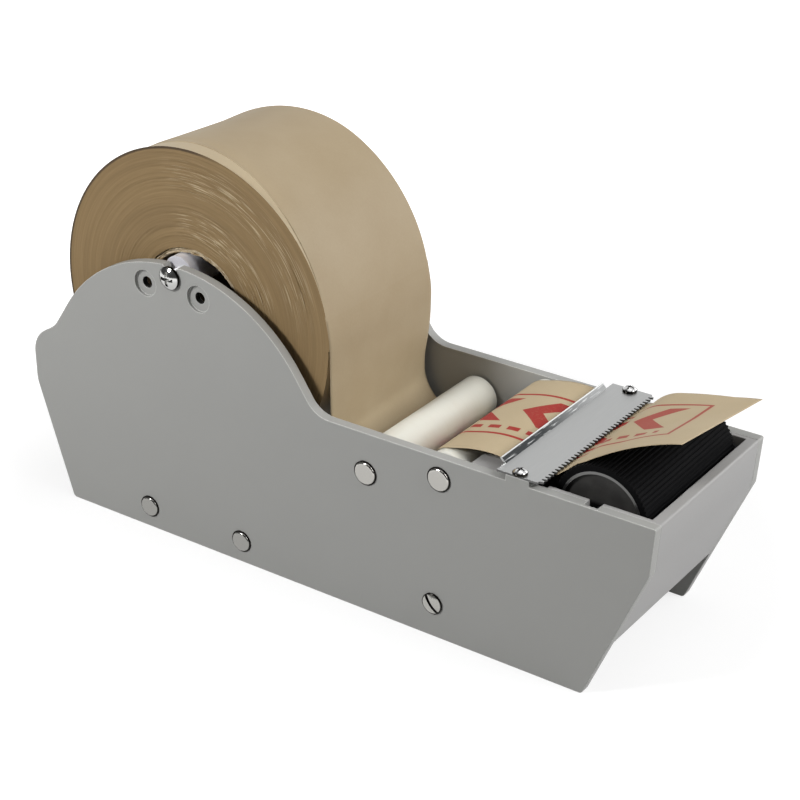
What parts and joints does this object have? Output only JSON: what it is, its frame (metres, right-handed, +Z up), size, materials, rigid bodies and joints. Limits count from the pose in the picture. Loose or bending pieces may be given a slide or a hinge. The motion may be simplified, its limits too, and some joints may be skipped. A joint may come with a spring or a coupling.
{
  "type": "gummed tape dispenser",
  "caption": "Hand-operated gummed paper tape dispenser: humped side plates, lift-out spindle with paper roll, guide rollers, serrated cutter and ribbed wetting roller over a water trough.",
  "frame": {"origin": "on the table, midway along the overall length and midway between the side plates", "axes": "+X towards the front where the tape comes out, +Y across the tape to the right side plate, +Z up"},
  "size_m": [0.3334, 0.1004, 0.1903],
  "materials": {
    "plates": "fine matt grey moulding",
    "trough": "fine matt grey moulding",
    "blade": "satin stainless",
    "bright_screws": "bright plated",
    "caps": "bright plated with a rolled edge",
    "rods": "drawn bar",
    "white_rollers": "off-white, slightly waxy",
    "bushes": "plain",
    "sleeve": "ribbed black rubber",
    "drum": "cut tube end",
    "discs": "dark grey",
    "spindle": "polished tube",
    "plugs": "turned",
    "core": "brown board",
    "tape": "kraft paper, gummed on the inside"
  },
  "bodies": {
    "frame": {"side_plate_left": "plates", "side_plate_right": "plates", "water_trough": "trough", "cutter_blade": "blade", "blade_screws": "bright_screws", "rear_tie_rod": "rods", "middle_tie_rod": "rods", "front_tie_rod": "rods", "tie_rod_caps": "caps", "front_rod_screws": "bright_screws", "rear_guide_axle": "rods", "front_guide_axle": "rods", "axle_caps": "caps", "tape_web": "tape"},
    "spindle": {"spindle_tube": "spindle", "spindle_plugs": "plugs", "spindle_screws": "bright_screws"},
    "paper_roll": {"roll_core": "core", "tape_roll": "tape"},
    "rear_guide": {"rear_guide_roller": "white_rollers", "rear_guide_bushes": "bushes"},
    "front_guide": {"front_guide_roller": "white_rollers", "front_guide_bushes": "bushes"},
    "wetting_roller": {"wetting_sleeve": "sleeve", "wetting_drum": "drum", "wetting_discs": "discs", "wetting_shaft": "rods"}
  },
  "joints": [
    {"name": "spindle_lift", "type": "slide", "parent": "frame", "child": "spindle", "axis": [0, 0, 1], "range_m": [0, 0.012], "deforming": ["tape_web"]},
    {"name": "roll_spin", "type": "hinge", "parent": "spindle", "child": "paper_roll", "pos_m": [-0.0738, 0, 0.11534], "axis": [0, 1, 0], "continuous": true},
    {"name": "rear_guide_spin", "type": "hinge", "parent": "frame", "child": "rear_guide", "pos_m": [0.0263, 0, 0.069], "axis": [0, 1, 0], "continuous": true},
    {"name": "front_guide_spin", "type": "hinge", "parent": "frame", "child": "front_guide", "pos_m": [0.0638, 0, 0.078], "axis": [0, 1, 0], "continuous": true},
    {"name": "wetting_spin", "type": "hinge", "parent": "frame", "child": "wetting_roller", "pos_m": [0.1345, 0, 0.0805], "axis": [0, 1, 0], "continuous": true}
  ],
  "couplings": [
    {"joint": "rear_guide_spin", "follows": "roll_spin", "ratio": -7.5},
    {"joint": "front_guide_spin", "follows": "roll_spin", "ratio": 7.5},
    {"joint": "wetting_spin", "follows": "roll_spin", "ratio": 3.4722}
  ]
}
